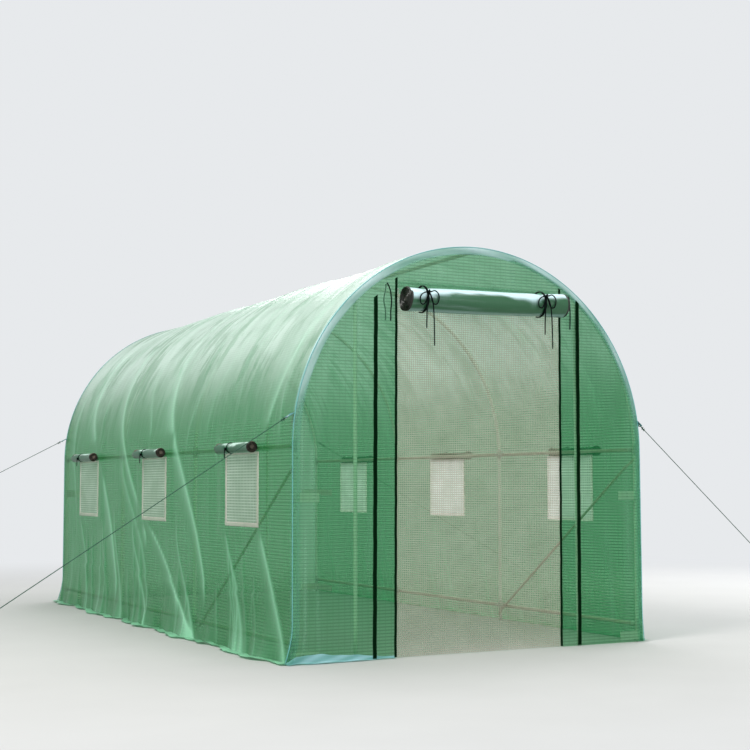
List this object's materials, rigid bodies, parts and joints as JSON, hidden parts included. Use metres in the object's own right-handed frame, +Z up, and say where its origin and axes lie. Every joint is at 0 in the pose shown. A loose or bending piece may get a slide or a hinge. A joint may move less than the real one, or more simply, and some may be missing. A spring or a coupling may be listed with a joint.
{
  "type": "polytunnel greenhouse",
  "caption": "Half-round walk-in polytunnel: tube frame, sewn sheet cover, net windows and net door under rolled flaps, held by guy ropes.",
  "frame": {"origin": "on the ground, at the middle of the tunnel's length and width", "axes": "+Y along the tunnel away from the door end, +X to the right seen from the door end, +Z up"},
  "size_m": [6.2906, 4.307, 2],
  "materials": {
    "cover_sheet": "translucent green woven sheet with a fine grid of reinforcing threads",
    "door_net": "fine grey-beige insect net",
    "fitting": "moulded tube fitting, pale grey",
    "frame_tube": "thin steel tube, powder-coated pale grey-beige",
    "peg": "bent steel rod",
    "rolled_sheet": "the same sheet rolled up, pale where the light catches it",
    "rope": "thin dark green braided cord",
    "strap": "pale touch-fastening strap",
    "tie_cord": "thin black cord",
    "webbing": "blue-green sewn webbing",
    "window_net": "white insect net with a sewn border",
    "zip_tape": "very dark green zip tape with coil teeth"
  },
  "bodies": {
    "root": {"back_arch": "frame_tube", "back_left_guy_rope": "rope", "back_right_guy_rope": "rope", "back_wall": "cover_sheet", "base_rail_fittings": "fitting", "door_head": "cover_sheet", "door_tie_bands": "tie_cord", "door_tie_loops": "tie_cord", "door_tie_tails": "tie_cord", "front_arch": "frame_tube", "front_left_guy_rope": "rope", "front_left_panel": "cover_sheet", "front_right_guy_rope": "rope", "front_right_panel": "cover_sheet", "ground_pegs": "peg", "guy_tabs": "webbing", "inner_left_zip": "zip_tape", "inner_right_zip": "zip_tape", "left_back_post": "frame_tube", "left_base_rail": "frame_tube", "left_brace": "frame_tube", "left_door_post": "frame_tube", "left_door_strip": "cover_sheet", "left_mid_rail": "frame_tube", "left_roof": "cover_sheet", "left_wall": "cover_sheet", "left_window_nets": "window_net", "left_window_rolls": "rolled_sheet", "leg_straps": "strap", "mid_rail_fittings": "fitting", "net_door": "door_net", "outer_left_zip": "zip_tape", "outer_right_zip": "zip_tape", "ridge_fittings": "fitting", "ridge_rail": "frame_tube", "right_back_post": "frame_tube", "right_base_rail": "frame_tube", "right_brace": "frame_tube", "right_door_post": "frame_tube", "right_door_strip": "cover_sheet", "right_mid_rail": "frame_tube", "right_roof": "cover_sheet", "right_wall": "cover_sheet", "right_window_nets": "window_net", "right_window_rolls": "rolled_sheet", "rolled_door": "rolled_sheet", "second_arch": "frame_tube", "spare_ties": "tie_cord", "third_arch": "frame_tube", "window_tie_bands": "tie_cord", "window_tie_tails": "tie_cord"}
  },
  "joints": []
}
